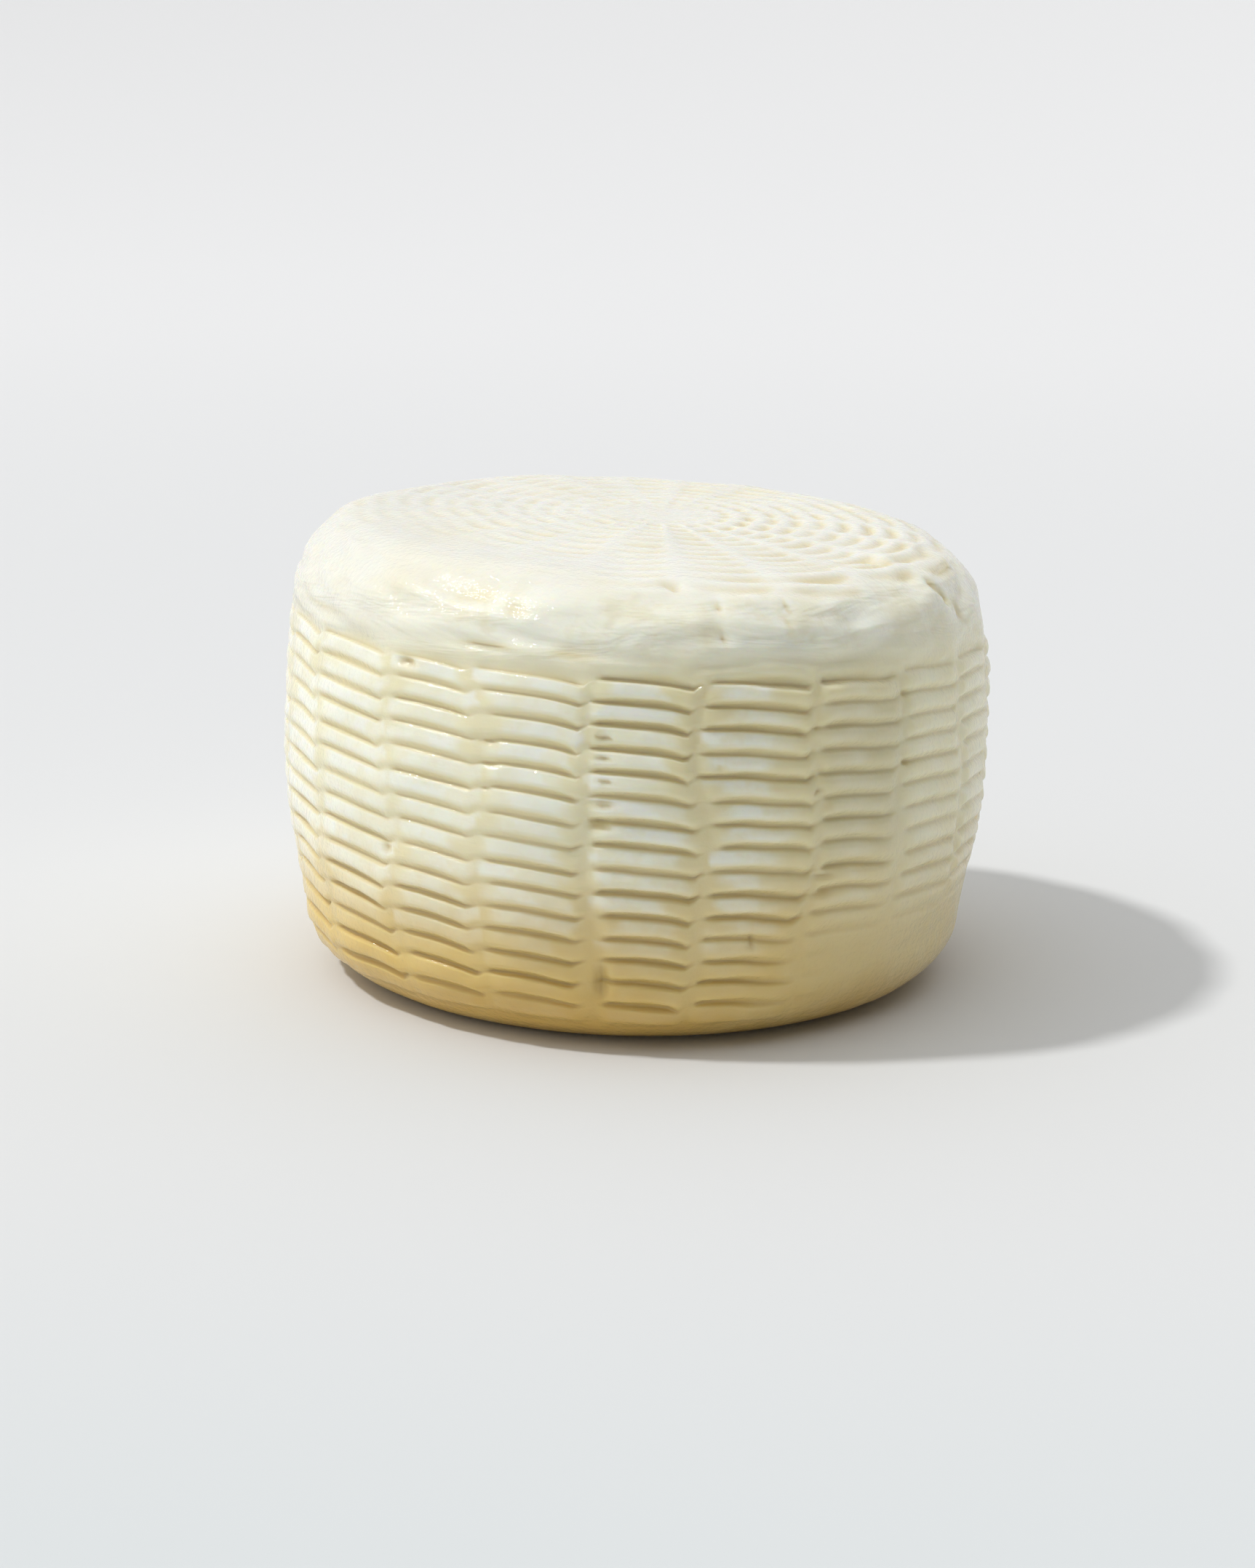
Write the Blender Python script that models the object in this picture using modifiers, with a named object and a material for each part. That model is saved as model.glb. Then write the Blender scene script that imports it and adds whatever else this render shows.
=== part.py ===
"""A small caciotta cheese moulded in a basket, as one solid. Metres, +Z up, the front towards -Y.

The body is turned from an outline: a nearly flat top, a round shoulder, a bellied side and a round foot
on a flat base. The points of its grid are then moved by the print of the basket: courses of short arched
grooves round the side, bay by bay, and rings of shallow grooves on the top. Soft lumps and hollows run
round the rim. Angles are measured from the front and grow to the right.
"""
import math

import bmesh
import bpy
import numpy as np

# Outline
BODY_HEIGHT = 0.0833
DOME_DROP = 0.0006
DOME_SPAN = 0.054
DOME_POWER = 2.2
DOME_EDGE = 0.0489
SHOULDER_RADIUS = 0.0635
SHOULDER_HEIGHT = 0.0675
SHOULDER_WIDTH = 0.0150
SHOULDER_RISE = 0.0153
BELLY_RADIUS = 0.0650
BELLY_HEIGHT = 0.044
FOOT_RADIUS = 0.0615
FOOT_ROUND = 0.014
CURVE_POINTS = 60
OUTLINE_STEP = 0.00025
OUTLINE_SMOOTHING = 13

# Lean of the cheese: the left side stands higher than the right one, and the top's back than its front
LEAN_SLOPE = 0.029
LEAN_FULL_HEIGHT = 0.055
LEAN_POWER = 0.8
TOP_SLOPE = 0.030
TOP_SLOPE_HEIGHTS = (0.060, 0.083)

# Basket print on the side
BAYS = 21
BAY_ANGLE = 2 * math.pi / BAYS
FIRST_SEAM = math.radians(-6.5)
COURSES = 15
TOP_COURSE_HEIGHT = 0.0661
LOW_COURSE_HEIGHT = 0.0091
COURSE_SWAY = 0.00045
SWAY_COURSES = 9
GROOVE_DEPTH = 0.0010
BAND_BULGE = 0.0003
SEAM_DEPTH = 0.0004
ARCH_CROWN = 0.35
ARCH_END = 0.95
RIGHT_DROP = 0.0015
LEFT_DROP = 0.0003
LENS_START = 0.30
LENS_END = 0.25
PRINT_UNEVENNESS = 0.25

# Where the print is weaker
FOOT_PRINT = 0.5
FOOT_PRINT_HEIGHTS = (0.016, 0.028)
BARE_HEIGHTS = (0.022, 0.030)
BARE_START = (math.radians(4), math.radians(20))
BARE_END = (math.radians(85), math.radians(110))

# Rim between the side's print and the top's
RIM_LUMP = 0.00045
SIDE_LUMP_SHARE = 0.5
FIRST_WAVE = 3
LUMP_WAVES = 9
WAVE_CLIMB = 400.0
SEED = 21

# Broad hollows under the rim: angle in degrees, height, half width, half height and depth
RIM_HOLLOWS = (
    (7.3, 0.0726, 0.0060, 0.0018, 0.0007), (25.0, 0.0712, 0.0050, 0.0020, 0.0007),
    (36.0, 0.0740, 0.0032, 0.0026, 0.0007), (44.0, 0.0742, 0.0036, 0.0022, 0.0005),
    (53.0, 0.0714, 0.0050, 0.0020, 0.0006), (54.0, 0.0795, 0.0040, 0.0020, 0.0004),
    (70.0, 0.0770, 0.0050, 0.0020, 0.0006), (95.0, 0.0750, 0.0060, 0.0025, 0.0006),
    (128.0, 0.0720, 0.0050, 0.0020, 0.0006), (160.0, 0.0760, 0.0060, 0.0020, 0.0005),
    (-150.0, 0.0730, 0.0060, 0.0022, 0.0006), (-118.0, 0.0760, 0.0060, 0.0020, 0.0005),
    (-85.0, 0.0730, 0.0050, 0.0020, 0.0005), (-38.0, 0.0750, 0.0050, 0.0016, 0.0004),
)

# Rings on the top
RING_PITCH = 0.0043
RING_START = -0.0008
RINGS = 13
RING_DEPTH = 0.0006
RING_CENTRE = (0.004, 0.007)
RING_CENTRE_REACH = 0.0545
RING_FAINT = 0.45
BARE_TOP_ANGLE = math.radians(-42)
BARE_TOP_SPREAD = math.radians(45)
BARE_TOP_RADII = (0.030, 0.046)
STRONG_TOP_ANGLE = math.radians(65)
STRONG_TOP_SPREAD = math.radians(60)

# Grid
COLUMNS = 4 * BAYS
COLUMN_CROWDING = 0.35
ROWS_A_COURSE = 3
FOOT_HEIGHTS = (0.0066, 0.0040, 0.0018, 0.0004)
RIM_ROWS = (0.0682, 0.0704, 0.0726, 0.0748, 0.0770, 0.0792)
HALF_COLUMNS_RADIUS = 0.0560
QUARTER_COLUMNS_RADIUS = 0.0250

CHEESE_COLOUR = (0.80, 0.78, 0.64, 1.0)
CHEESE_ROUGHNESS = 0.42


def step(value, low, high):
    """A smooth step from 0 at low to 1 at high."""
    t = np.clip((value - low) / (high - low), 0.0, 1.0)
    return t * t * (3.0 - 2.0 * t)


def angle_between(theta, middle):
    """The angle from middle to theta, between -pi and pi."""
    return (theta - middle + math.pi) % (2 * math.pi) - math.pi


def dome():
    """Radius and height along the top, from the centre out."""
    radius = np.linspace(0.0, DOME_EDGE, CURVE_POINTS)
    height = BODY_HEIGHT - DOME_DROP * (radius / DOME_SPAN) ** DOME_POWER
    return radius, height


def shoulder():
    """A quarter ellipse from the dome's edge down to the side."""
    inner = SHOULDER_RADIUS - SHOULDER_WIDTH
    turn = np.linspace(math.asin((DOME_EDGE - inner) / SHOULDER_WIDTH), math.pi / 2, CURVE_POINTS)[1:]
    return inner + SHOULDER_WIDTH * np.sin(turn), SHOULDER_HEIGHT + SHOULDER_RISE * np.cos(turn)


def side():
    """Two half parabolas that meet at the belly."""
    height = np.linspace(SHOULDER_HEIGHT, FOOT_ROUND, CURVE_POINTS)[1:]
    above = height > BELLY_HEIGHT
    end_radius = np.where(above, SHOULDER_RADIUS, FOOT_RADIUS)
    end_height = np.where(above, SHOULDER_HEIGHT, FOOT_ROUND)
    reach = (height - BELLY_HEIGHT) / (end_height - BELLY_HEIGHT)
    return BELLY_RADIUS - (BELLY_RADIUS - end_radius) * reach ** 2, height


def foot():
    """A quarter circle from the side in to the flat base."""
    turn = np.linspace(0.0, math.pi / 2, CURVE_POINTS)[1:]
    return FOOT_RADIUS - FOOT_ROUND * (1.0 - np.cos(turn)), FOOT_ROUND * (1.0 - np.sin(turn))


def outline():
    """The whole outline at even steps of its length, with its joins smoothed."""
    stretches = (dome(), shoulder(), side(), foot())
    radius = np.concatenate([stretch[0] for stretch in stretches])
    height = np.concatenate([stretch[1] for stretch in stretches])
    length = np.concatenate([[0.0], np.cumsum(np.hypot(np.diff(radius), np.diff(height)))])
    even = np.arange(0.0, length[-1], OUTLINE_STEP)
    kernel = np.ones(OUTLINE_SMOOTHING) / OUTLINE_SMOOTHING
    pad = OUTLINE_SMOOTHING // 2
    points = []
    for values in (radius, height):
        sampled = np.interp(even, length, values)
        smoothed = np.convolve(sampled, kernel, mode="valid")
        points.append(np.concatenate([sampled[:pad], smoothed, sampled[-pad:]]))
    return even, points[0], points[1]


LENGTH, RADIUS, HEIGHT = outline()
OUTWARD_RADIUS = -np.gradient(HEIGHT, LENGTH)
OUTWARD_HEIGHT = np.gradient(RADIUS, LENGTH)


def length_at_height(height):
    """Outline length at which the side stands at this height."""
    return np.interp(-height, -HEIGHT, LENGTH)


def length_at_radius(radius):
    """Outline length at which the top reaches this radius."""
    on_top = HEIGHT > SHOULDER_HEIGHT
    return np.interp(radius, RADIUS[on_top], LENGTH[on_top])


def course_height(course):
    """Height of a groove's middle. Course 0 is the top one."""
    pitch = (TOP_COURSE_HEIGHT - LOW_COURSE_HEIGHT) / (COURSES - 1)
    sway = COURSE_SWAY * max(0.0, math.sin(math.pi * course / SWAY_COURSES))
    return TOP_COURSE_HEIGHT - pitch * course + sway


def ring_radius(ring):
    """Radius of a ring on the top. Ring 1 is the innermost."""
    return RING_START + RING_PITCH * ring


def arch_drop(phase):
    """How far a groove has dropped below its crown, at a phase from 0 to 1 across the bay."""
    right = RIGHT_DROP * np.clip((phase - ARCH_CROWN) / (ARCH_END - ARCH_CROWN), 0.0, 1.0) ** 2
    left = LEFT_DROP * np.clip(1.0 - phase / ARCH_CROWN, 0.0, 1.0) ** 2
    back_up = step(phase, ARCH_END, 1.0)
    return left + right * (1.0 - back_up) + LEFT_DROP * back_up


def lens(phase):
    """Strength of a groove across its bay: full in the middle, tapered at both ends."""
    return step(phase, 0.0, LENS_START) * step(1.0 - phase, 0.0, LENS_END)


def side_strength(theta, height):
    """Strength of the print on the side: softer near the foot, and bare at the front right there."""
    low = FOOT_PRINT + (1.0 - FOOT_PRINT) * step(height, *FOOT_PRINT_HEIGHTS)
    turn = theta % (2 * math.pi)
    bare = step(turn, *BARE_START) * (1.0 - step(turn, *BARE_END))
    return low * (1.0 - bare * (1.0 - step(height, *BARE_HEIGHTS)))


def top_strength(theta, radius):
    """Strength of the rings: full at the right, faint at the left, bare near the front left rim."""
    strong = np.exp(-(angle_between(theta, STRONG_TOP_ANGLE) / STRONG_TOP_SPREAD) ** 2)
    bare = np.exp(-(angle_between(theta, BARE_TOP_ANGLE) / BARE_TOP_SPREAD) ** 2)
    faded = 1.0 - bare * step(radius, *BARE_TOP_RADII)
    return (RING_FAINT + (1.0 - RING_FAINT) * strong) * faded


def unevenness():
    """One strength for each course and bay, and for each ring and bay, drawn with a fixed seed."""
    draw = np.random.default_rng(SEED)
    shape = (COURSES + RINGS + 1, BAYS)
    return 1.0 + PRINT_UNEVENNESS * draw.uniform(-1.0, 1.0, shape)


STRENGTHS = unevenness()


def side_relief(number, phase, bay, row_phase, strength):
    """How far a grid point stands out: bands bulge, seams sink a little, and grooves are cut in."""
    full = lens(phase)
    relief = BAND_BULGE * full - SEAM_DEPTH * (1.0 - full) * strength
    if row_phase == 0:
        relief -= (GROOVE_DEPTH + BAND_BULGE) * full * strength * STRENGTHS[number, bay]
    return relief


def rim_relief(theta, height):
    """Soft lumps that run round the rim, from a few seeded waves."""
    draw = np.random.default_rng(SEED + 1)
    total = 0.0
    for wave in range(FIRST_WAVE, FIRST_WAVE + LUMP_WAVES):
        shift = draw.uniform(0.0, 2 * math.pi)
        climb = draw.uniform(-WAVE_CLIMB, WAVE_CLIMB)
        total += math.sin(wave * theta + climb * height + shift)
    return RIM_LUMP * total / math.sqrt(LUMP_WAVES)


def hollow_depth(theta, height):
    """Depth of the broad hollows under the rim."""
    total = 0.0
    for angle, middle, half_width, half_height, depth in RIM_HOLLOWS:
        across = angle_between(theta, math.radians(angle)) * BELLY_RADIUS / half_width
        up = (height - middle) / half_height
        total += depth * math.exp(-(across ** 2 + up ** 2))
    return total


def grid_rows():
    """Each row as its outline length, its kind, its course or ring, and its row phase, top first."""
    rows = [(0.0, "plain", 0, 0)]
    for ring in range(1, RINGS + 1):
        radius = ring_radius(ring)
        rows.append((length_at_radius(radius), "ring", ring, 0))
        if ring < RINGS:
            rows.append((length_at_radius(radius + RING_PITCH / 2), "ring", ring, 1))
    for height in reversed(RIM_ROWS):
        rows.append((length_at_height(height), "rim", 0, 0))
    for course in range(COURSES):
        here = course_height(course)
        below = course_height(course + 1)
        for row in range(ROWS_A_COURSE):
            if course == COURSES - 1 and row > 0:
                continue
            height = here + (below - here) * row / ROWS_A_COURSE
            rows.append((length_at_height(height), "course", course, row))
    for height in FOOT_HEIGHTS:
        rows.append((length_at_height(height), "plain", 0, 0))
    rows.append((LENGTH[-1], "base", 0, 0))
    return rows


def turned_mesh(rows):
    """The outline's rows, turned round the upright axis, as a closed mesh."""
    points = [(np.interp(row[0], LENGTH, RADIUS), 0.0, np.interp(row[0], LENGTH, HEIGHT)) for row in rows]
    points.append((0.0, 0.0, HEIGHT[-1]))
    profile = bpy.data.meshes.new("outline")
    profile.from_pydata(points, [(i, i + 1) for i in range(len(points) - 1)], [])
    turned = bpy.data.objects.new("outline", profile)
    bpy.context.scene.collection.objects.link(turned)
    screw = turned.modifiers.new("turn", "SCREW")
    screw.axis = "Z"
    screw.steps = COLUMNS
    screw.render_steps = COLUMNS
    screw.use_merge_vertices = True
    screw.merge_threshold = 0.00001
    graph = bpy.context.evaluated_depsgraph_get()
    mesh = bpy.data.meshes.new_from_object(turned.evaluated_get(graph))
    bpy.data.objects.remove(turned)
    return mesh, points


def merge_columns(grid, columns, spacing):
    """On the top, only every second or fourth column is kept."""
    targets = {}
    kept = {}
    for vertex in grid.verts:
        row, column = columns[vertex.index]
        if column % spacing(row) == 0:
            kept[(row, column)] = vertex
    for vertex in grid.verts:
        row, column = columns[vertex.index]
        gap = spacing(row)
        if column % gap:
            targets[vertex] = kept[(row, column - column % gap)]
    bmesh.ops.weld_verts(grid, targetmap=targets)


def placed(row, theta):
    """Where a grid point goes, with the print and the lean."""
    along, kind, number, row_phase = row
    turn = (theta - FIRST_SEAM) / BAY_ANGLE
    bay = int(math.floor(turn)) % BAYS
    phase = turn - math.floor(turn)
    phase -= COLUMN_CROWDING * math.sin(2 * math.pi * phase) / (2 * math.pi)
    if kind in ("course", "rim"):
        theta = FIRST_SEAM + (math.floor(turn) + phase) * BAY_ANGLE
    height = np.interp(along, LENGTH, HEIGHT)
    radius = np.interp(along, LENGTH, RADIUS)
    depth = 0.0
    shift = (0.0, 0.0)
    if kind == "course":
        strength = side_strength(theta, height)
        along += arch_drop(phase) * strength
        depth = side_relief(number, phase, bay, row_phase, strength)
        depth += SIDE_LUMP_SHARE * rim_relief(theta, height)
    elif kind == "rim":
        depth = rim_relief(theta, height) - hollow_depth(theta, height)
    elif kind == "ring":
        weight = max(0.0, 1.0 - (radius / RING_CENTRE_REACH) ** 2)
        shift = (RING_CENTRE[0] * weight, RING_CENTRE[1] * weight)
        if row_phase == 0:
            depth = -RING_DEPTH * top_strength(theta, radius) * STRENGTHS[COURSES + number, bay]
    elif kind == "plain" and radius < RING_PITCH:
        shift = RING_CENTRE
    r = np.interp(along, LENGTH, RADIUS) + depth * np.interp(along, LENGTH, OUTWARD_RADIUS)
    z = np.interp(along, LENGTH, HEIGHT) + depth * np.interp(along, LENGTH, OUTWARD_HEIGHT)
    x = r * math.sin(theta) + shift[0]
    y = -r * math.cos(theta) + shift[1]
    if kind == "base":
        return x, y, 0.0
    lean = LEAN_SLOPE * np.clip(z / LEAN_FULL_HEIGHT, 0.0, 1.0) ** LEAN_POWER
    slope = TOP_SLOPE * step(z, *TOP_SLOPE_HEIGHTS)
    return x, y, z - lean * x + slope * y


def press_print(mesh, points, rows):
    """Move the turned grid's points to where the basket's print puts them."""
    grid = bmesh.new()
    grid.from_mesh(mesh)
    grid.verts.ensure_lookup_table()
    row_radius = np.array([point[0] for point in points])
    row_height = np.array([point[2] for point in points])
    columns = {}
    for vertex in grid.verts:
        radius = math.hypot(vertex.co.x, vertex.co.y)
        distance = np.hypot(row_radius - radius, row_height - vertex.co.z)
        theta = math.atan2(vertex.co.x, -vertex.co.y)
        columns[vertex.index] = (int(np.argmin(distance)), round(theta * COLUMNS / (2 * math.pi)) % COLUMNS)

    def spacing(row):
        radius = row_radius[row]
        if row_height[row] < SHOULDER_HEIGHT or radius > HALF_COLUMNS_RADIUS or radius == 0.0:
            return 1
        return 2 if radius > QUARTER_COLUMNS_RADIUS else 4

    for vertex in grid.verts:
        row, column = columns[vertex.index]
        if row == len(rows):
            vertex.co = (0.0, 0.0, 0.0)
            continue
        theta = column * 2 * math.pi / COLUMNS
        vertex.co = placed(rows[row], theta)
    merge_columns(grid, columns, spacing)
    bmesh.ops.triangulate(grid, faces=grid.faces[:])
    grid.to_mesh(mesh)
    grid.free()


def centre_on_origin(mesh):
    """Slide the mesh so that the middle of its box is on the upright axis and its base on z = 0."""
    points = np.array([vertex.co for vertex in mesh.vertices])
    low = points.min(axis=0)
    middle = (low + points.max(axis=0)) / 2
    for vertex in mesh.vertices:
        vertex.co.x -= middle[0]
        vertex.co.y -= middle[1]
        vertex.co.z -= low[2]


def cheese_material():
    """Moist, buttery white cheese."""
    material = bpy.data.materials.new("fresh cheese")
    material.use_nodes = True
    shader = material.node_tree.nodes["Principled BSDF"]
    shader.inputs["Base Color"].default_value = CHEESE_COLOUR
    shader.inputs["Roughness"].default_value = CHEESE_ROUGHNESS
    shader.inputs["Metallic"].default_value = 0.0
    return material


def build():
    """Clear the scene and make the cheese."""
    for old in list(bpy.data.objects):
        bpy.data.objects.remove(old)
    collection = bpy.data.collections.new("caciotta")
    bpy.context.scene.collection.children.link(collection)
    rows = grid_rows()
    mesh, points = turned_mesh(rows)
    press_print(mesh, points, rows)
    centre_on_origin(mesh)
    mesh.materials.clear()
    mesh.materials.append(cheese_material())
    mesh.shade_smooth()
    cheese = bpy.data.objects.new("cheese", mesh)
    mesh.name = "cheese"
    collection.objects.link(cheese)


build()
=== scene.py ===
"""Looks of a small caciotta cheese moulded in a basket. Metres, +Z up, the front towards -Y.

The cheese is modelled again as a fine mesh over the same outline as the solid it replaces. Courses of
arched grooves run round its side, bay by bay, rings of dimples cover its top, and dents, pits and lumps
lie where the real one has them. Angles are measured from the front and grow to the right.
"""
import math

import bpy
import numpy as np
from mathutils import Matrix, Vector


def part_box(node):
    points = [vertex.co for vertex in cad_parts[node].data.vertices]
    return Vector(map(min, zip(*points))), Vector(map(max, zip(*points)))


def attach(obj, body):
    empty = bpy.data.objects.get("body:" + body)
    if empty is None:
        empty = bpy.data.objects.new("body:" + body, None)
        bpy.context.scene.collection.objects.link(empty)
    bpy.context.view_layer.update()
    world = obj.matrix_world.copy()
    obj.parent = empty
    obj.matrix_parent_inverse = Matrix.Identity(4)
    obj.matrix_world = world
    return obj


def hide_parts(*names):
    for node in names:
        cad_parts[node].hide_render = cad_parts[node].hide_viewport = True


MM = 0.001
NODE = "cheese"

# Outline, as in the solid
BODY_HEIGHT = 83.3 * MM
DOME_DROP = 0.6 * MM
DOME_SPAN = 54 * MM
DOME_POWER = 2.2
DOME_EDGE = 48.9 * MM
SHOULDER_RADIUS = 63.5 * MM
SHOULDER_HEIGHT = 67.5 * MM
SHOULDER_WIDTH = 15.0 * MM
SHOULDER_RISE = 15.3 * MM
BELLY_RADIUS = 65 * MM
BELLY_HEIGHT = 44 * MM
FOOT_RADIUS = 61.5 * MM
FOOT_ROUND = 14 * MM
CURVE_POINTS = 60
OUTLINE_STEP = 0.25 * MM
OUTLINE_SMOOTHING = 13

# Lean: the left side stands higher than the right one, and the top's back than its front
LEAN_SLOPE = 0.029
LEAN_FULL_HEIGHT = 55 * MM
LEAN_POWER = 0.8
TOP_SLOPE = 0.030
TOP_SLOPE_HEIGHTS = (60 * MM, 83 * MM)

# Basket print on the side
BAYS = 21
BAY_ANGLE = 2 * math.pi / BAYS
FIRST_SEAM = math.radians(-6.5)
COURSES = 15
TOP_COURSE_HEIGHT = 66.1 * MM
LOW_COURSE_HEIGHT = 9.1 * MM
COURSE_PITCH = (TOP_COURSE_HEIGHT - LOW_COURSE_HEIGHT) / (COURSES - 1)
COURSE_SWAY = 0.45 * MM
SWAY_COURSES = 9
GROOVE_DEPTH = 1.05 * MM
CHANNEL_BELOW = (0.06 * MM, 0.24 * MM)
CHANNEL_ABOVE = (0.04 * MM, 0.50 * MM)
LEDGE = 0.36 * MM
ROLL = 1.5 * MM
ROLL_FULLNESS = 1.6
RIGHT_ROLL = 0.8
RIGHT_LEDGE = 1.6
RIGHT_TINT = 0.65
FIRST_BOOST = 0.6
RIGHT_DEPTH = 1.1
RIGHT_BULGE = 0.7
RIGHT_START = (math.radians(13), math.radians(32))
RIGHT_END = (math.radians(110), math.radians(170))
TINT_EDGE = 0.35 * MM
SPINDLE = (0.55, 0.50)
THIN_GIRTH = 0.6
WIDE_START = (math.radians(-16), math.radians(-4))
WIDE_END = (math.radians(24), math.radians(42))
LEFT_PRINT = 0.5
LEFT_FOOT_PRINT = 0.3
LEFT_FOOT_HEIGHTS = (20 * MM, 40 * MM)
SEAM_WANDER = 0.075
WANDER_RADIUS = 47 * MM
WANDER_WAVES = (7, 42 * MM, 7 * MM)
LEFT_SEAM = 0.6
CREST_START = 0.13
CREST_START_LEFT = 0.11
CREST_END = 0.17
CREST_END_LEFT = 0.14
CREST_MEAN = 0.6
SEAM_TINT_ENDS = (0.07, 0.09)
SEAM_TINT_LEFT = 0.4
PRINT_FULL = 1.2
# Pads: partly whiter curd, partly painted light on the lit faces of the bands
PAD_EDGE = 0.09
PAD_EDGE_RIGHT = 0.10
PAD_EDGE_LEFT = 0.03
PAD_SHAKE = 0.09
PAD_WAVES = (9, 30 * MM, 3 * MM)
PAD_START_RIGHT = 0.08
PAD_END_RIGHT = -0.06
PAD_RIGHT = 0.35
PAD_FOOT = 0.15
PAD_CLEAR_ABOVE = (0.1 * MM, 0.7 * MM)
PAD_CLEAR_BELOW = (0.7 * MM, 1.9 * MM)
PAD_FADE_HEIGHTS = (13 * MM, 27 * MM)
# Groove tint: partly yellower curd, partly painted shade under each band's roll
TINT_BELOW = (0.12 * MM, 0.18 * MM)
TINT_ABOVE = (0.25 * MM, 0.45 * MM)
BAND_BULGE = 0.40 * MM
BAND_CREST = 0.62
BAY_CROWN = 0.16 * MM
ARCH_CROWN = 0.30
ARCH_END = 0.87
ARCH_POWER = 1.5
RIGHT_DROP = 1.25 * MM
LEFT_DROP = 0.05 * MM
LENS_START = 0.11
LENS_END = 0.15
LENS_GAP = 0.06
STRENGTH_SPREAD = 0.3
SHIFT_SPREAD = 0.3 * MM
WEAK_SLIDE = 0.4

# Where the print is weaker
FOOT_PRINT = 0.95
FOOT_PRINT_HEIGHTS = (16 * MM, 28 * MM)
BARE_HEIGHTS = (17 * MM, 32 * MM)
BARE_START = (math.radians(8), math.radians(36))
BARE_END = (math.radians(85), math.radians(110))
SOFT_START = (math.radians(28), math.radians(60))
SOFT_END = (math.radians(80), math.radians(110))
SOFT_PRINT = 0.8

# Rings on the top
RING_PITCH = 4.3 * MM
RING_START = -0.8 * MM
RINGS = 15
RING_DEPTH = 0.75 * MM
RING_WIDTH = 1.1 * MM
RING_BOW = 1.2 * MM
RING_CENTRE = (4 * MM, 7 * MM)
RING_SEAM = math.radians(1.9)
RING_REACH = (53 * MM, 56.5 * MM)
RING_REACH_RIGHT = 3.5 * MM
RING_BOW_REACH = (10 * MM, 45 * MM)
RING_START_REACH = (3 * MM, 15 * MM)
RING_ENDS = (0.36, 0.17)
RING_THIN_END = 0.45
RING_FAINT = 0.6
# The dimples' tint is partly painted shade
RING_TINT = 1.2
RING_TINT_POWER = 1.2
RING_MARGIN = 4 * MM
STRONG_TOP_ANGLE = math.radians(70)
STRONG_TOP_SPREAD = math.radians(60)
BARE_TOP_ANGLE = math.radians(-42)
BARE_TOP_SPREAD = math.radians(45)
BARE_TOP_RADII = (30 * MM, 46 * MM)

# Unevenness of the whole. Each tuple of waves has their number, the longest and the shortest length.
LUMP_WAVES = (10, 60 * MM, 14 * MM)
LUMP = 0.28 * MM
RIPPLE_WAVES = (12, 9 * MM, 3 * MM)
SIDE_RIPPLE = 0.06 * MM
TOP_RIPPLE = 0.03 * MM
WRINKLE_WAVES = (9, 6 * MM, 2.2 * MM)
WRINKLE = 0.28 * MM
WRINKLE_STRETCH = 0.22
WRINKLE_START = (64 * MM, 70 * MM)
WRINKLE_END = (80 * MM, 84 * MM)
FIRM_HEIGHT = 6 * MM

# Dents and pits: how deep they are, at what depth their tint, partly painted shade, is full, and how
# steep their walls are
PIT_DEPTH = 1.4
PIT_TINT = 0.8 * MM
TOP_PIT_TINT = 1.6 * MM
PIT_SHARPNESS = 1.3
HOLLOW_SHARPNESS = 1.0

# Those on the side and rim: angle in degrees, height, half width, half height, depth in mm
PITS = (
    (-4.5, 56.2, 1.3, 0.55, 0.8), (-4.7, 52.7, 1.2, 0.4, 0.6), (-4.2, 48.8, 1.2, 0.4, 0.6),
    (-4.5, 45.2, 1.8, 0.55, 0.7), (-5.0, 41.4, 1.6, 0.75, 0.9), (-22, 53.7, 1.4, 0.45, 0.6),
    (-22, 50, 1.5, 0.4, 0.6), (-22.4, 45.8, 0.8, 0.4, 0.4), (-41, 31.8, 0.9, 0.8, 0.6),
    (-37, 64.8, 1.6, 0.8, 0.9), (28, 58, 1.0, 0.5, 0.5), (28, 47.3, 1.0, 0.4, 0.4),
    (30, 44.5, 0.7, 0.9, 0.5), (12.5, 51.7, 1.2, 0.5, 0.4), (46, 62, 1.0, 0.8, 0.5),
    (46, 50, 1.0, 0.7, 0.5), (18.8, 20.8, 0.6, 1.2, 0.5), (-4.6, 13.5, 1.2, 3.0, 0.9),
    (30, 32, 2.0, 0.6, 0.6), (30, 28.8, 2.0, 0.6, 0.5), (13.2, 79.2, 0.8, 0.6, 0.5),
    (13.4, 74.2, 0.7, 0.9, 0.5), (24.8, 79.0, 0.5, 0.9, 0.4), (24.0, 76.5, 0.4, 0.5, 0.4),
    (61.5, 78.8, 1.3, 1.1, 0.9), (63.2, 76.9, 1.1, 1.4, 0.9), (66.0, 74.3, 1.3, 2.0, 0.6),
    (-23.6, 70.4, 5.0, 0.7, 0.7), (-10, 70.3, 3.5, 0.9, 0.5), (-60, 70, 9.0, 0.8, 0.3),
    (-19.5, 76.8, 2.4, 1.2, 0.4), (-28, 78.4, 4.5, 1.2, 0.3), (-45, 72.9, 0.35, 0.3, 0.3),
)

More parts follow.
